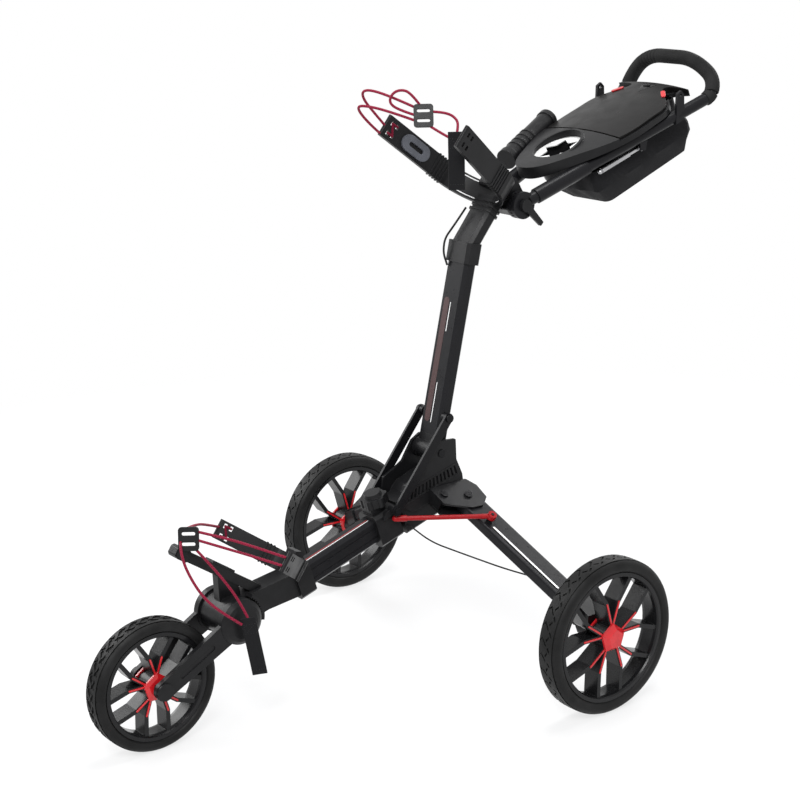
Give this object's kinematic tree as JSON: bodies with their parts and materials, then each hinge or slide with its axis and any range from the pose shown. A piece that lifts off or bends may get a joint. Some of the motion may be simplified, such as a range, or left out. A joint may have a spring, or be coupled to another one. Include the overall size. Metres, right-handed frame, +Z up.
{
  "type": "golf push cart",
  "caption": "Folding golf push cart without a bag: dark tubes, red hubs and rods, bungee bag cradles, tilting handle and a console with lid and cup holder.",
  "frame": {"origin": "ground level under the middle of the cart's footprint", "axes": "+Z up, -Y towards the front wheel, +X towards the cart's left side"},
  "size_m": [0.864, 1.4048, 1.1265],
  "materials": {
    "tube": "satin gunmetal paint",
    "plastic": "moulded black nylon, fine grain",
    "lid": "moulded black, soft sheen",
    "steel": "zinc-plated steel",
    "link": "satin dark paint",
    "tyre": "solid foam tyre",
    "rim": "moulded black nylon",
    "red": "bright red moulding",
    "red_rod": "bright red paint",
    "pad": "grey moulding",
    "liner": "pale grey moulding",
    "foam": "ribbed foam",
    "pouch_cloth": "woven nylon",
    "webbing": "woven webbing",
    "cord": "braided elastic cord",
    "cable": "cable sheath"
  },
  "bodies": {
    "frame": {"lower_tube": "tube", "hinge_housing": "plastic", "pivot_bolts": "link", "leg_brackets": "plastic", "nose_housing": "plastic", "lower_cradle": "plastic", "base_rest": "plastic", "lower_cord_near": "cord", "lower_cord_far": "cord", "lower_cord_loop": "cord", "lower_clip": "plastic", "lower_pull_tab": "webbing"},
    "collar": {"fold_collar": "plastic"},
    "knob": {"lock_knob": "plastic"},
    "mast": {"mast_tube": "tube", "mast_foot": "plastic", "link_bolts": "link", "neck": "plastic", "yoke": "plastic", "upper_cradle": "plastic", "upper_pads": "pad", "neck_cable": "cable", "upper_cord_far": "cord", "upper_cord_near": "cord", "upper_clip": "plastic", "upper_pull_tab": "webbing"},
    "links": {"fold_links": "link"},
    "leg_left": {"leg_left": "tube", "axle_block_left": "plastic", "axle_set_left": "steel", "brake_cable_left": "cable"},
    "leg_right": {"leg_right": "tube", "axle_block_right": "plastic", "axle_set_right": "steel"},
    "button_left": {"release_button_left": "red"},
    "button_right": {"release_button_right": "red"},
    "rod_left": {"fold_rod_left": "red_rod"},
    "rod_right": {"fold_rod_right": "red_rod"},
    "wheel_left": {"tyre_left": "tyre", "rim_left": "rim", "hub_left": "red"},
    "wheel_right": {"tyre_right": "tyre", "rim_right": "rim", "hub_right": "red"},
    "fork": {"fork_arms": "plastic", "front_axle_set": "steel"},
    "wheel_front": {"tyre_front": "tyre", "rim_front": "rim", "hub_front": "red"},
    "handle": {"handle_arms": "tube", "handle_loop": "tube", "grip": "foam", "console_tray": "plastic", "cup_liner": "liner", "umbrella_holder": "plastic", "pouch": "pouch_cloth"},
    "lid": {"console_lid": "lid", "lid_tabs": "red"},
    "brake": {"brake_lever": "steel"},
    "cam": {"cam_lever": "plastic"}
  },
  "joints": [
    {"name": "mast_fold", "type": "hinge", "parent": "frame", "child": "mast", "pos_m": [0, 0.04725, 0.419], "axis": [1, 0, 0], "range_deg": [0, 60]},
    {"name": "collar_slide", "type": "slide", "parent": "frame", "child": "collar", "axis": [0, -0.9563, -0.2924], "range_m": [0, 0.0706]},
    {"name": "links_turn", "type": "hinge", "parent": "mast", "child": "links", "pos_m": [0, 0.06125, 0.487], "axis": [1, 0, 0], "range_deg": [-60.6, 0]},
    {"name": "leg_left_fold", "type": "hinge", "parent": "frame", "child": "leg_left", "pos_m": [0.066, 0.08125, 0.324], "axis": [0.4772, 0, 0.8788], "range_deg": [-52.9, 0], "deforming": ["brake_cable_left"]},
    {"name": "leg_right_fold", "type": "hinge", "parent": "frame", "child": "leg_right", "pos_m": [-0.066, 0.08125, 0.324], "axis": [-0.4772, 0, 0.8788], "range_deg": [0, 52.9]},
    {"name": "rod_left_swing", "type": "hinge", "parent": "leg_left", "child": "rod_left", "pos_m": [0.139, 0.08425, 0.3118], "axis": [0.561, -0.0216, 0.8275], "range_deg": [0, 64.8]},
    {"name": "rod_right_swing", "type": "hinge", "parent": "leg_right", "child": "rod_right", "pos_m": [-0.139, 0.08425, 0.3118], "axis": [-0.561, -0.0216, 0.8275], "range_deg": [-64.8, 0]},
    {"name": "wheel_left_spin", "type": "hinge", "parent": "leg_left", "child": "wheel_left", "pos_m": [0.402, 0.12725, 0.146], "axis": [1, 0, 0], "continuous": true},
    {"name": "wheel_right_spin", "type": "hinge", "parent": "leg_right", "child": "wheel_right", "pos_m": [-0.402, 0.12725, 0.146], "axis": [1, 0, 0], "continuous": true},
    {"name": "wheel_front_spin", "type": "hinge", "parent": "fork", "child": "wheel_front", "pos_m": [0, -0.58175, 0.12065], "axis": [1, 0, 0], "continuous": true},
    {"name": "front_fork_fold", "type": "hinge", "parent": "frame", "child": "fork", "pos_m": [0, -0.41975, 0.207], "axis": [1, 0, 0], "range_deg": [0, 90]},
    {"name": "handle_tilt", "type": "hinge", "parent": "mast", "child": "handle", "pos_m": [0, 0.23925, 0.872], "axis": [1, 0, 0], "range_deg": [-45, 20]},
    {"name": "console_lid", "type": "hinge", "parent": "handle", "child": "lid", "pos_m": [0, 0.43831, 0.99142], "axis": [1, 0, 0], "range_deg": [0, 75]},
    {"name": "brake_lever", "type": "hinge", "parent": "handle", "child": "brake", "pos_m": [0.085, 0.51425, 0.955], "axis": [1, 0, 0], "range_deg": [0, 25], "stiffness_Nm_per_rad": 0.4, "springref_deg": -14.32},
    {"name": "cam_lever", "type": "hinge", "parent": "handle", "child": "cam", "pos_m": [0.06, 0.23925, 0.872], "axis": [-1, 0, 0], "range_deg": [0, 60]},
    {"name": "lock_knob_turn", "type": "hinge", "parent": "collar", "child": "knob", "pos_m": [0, -0.08388, 0.3354], "axis": [0, -0.2924, 0.9563], "range_deg": [-90, 90]},
    {"name": "release_left", "type": "slide", "parent": "leg_left", "child": "button_left", "axis": [1, 0, 0], "range_m": [0, 0.003], "stiffness_N_per_m": 400, "springref_m": -0.002},
    {"name": "release_right", "type": "slide", "parent": "leg_right", "child": "button_right", "axis": [-1, 0, 0], "range_m": [0, 0.003], "stiffness_N_per_m": 400, "springref_m": -0.002}
  ],
  "couplings": [
    {"joint": "collar_slide", "follows": "mast_fold", "m_per_rad": 0.067331},
    {"joint": "links_turn", "follows": "mast_fold", "ratio": -1.0094},
    {"joint": "leg_left_fold", "follows": "mast_fold", "ratio": -0.88083},
    {"joint": "leg_right_fold", "follows": "mast_fold", "ratio": 0.88083},
    {"joint": "rod_left_swing", "follows": "mast_fold", "ratio": 1.0783},
    {"joint": "rod_right_swing", "follows": "mast_fold", "ratio": -1.0783}
  ]
}
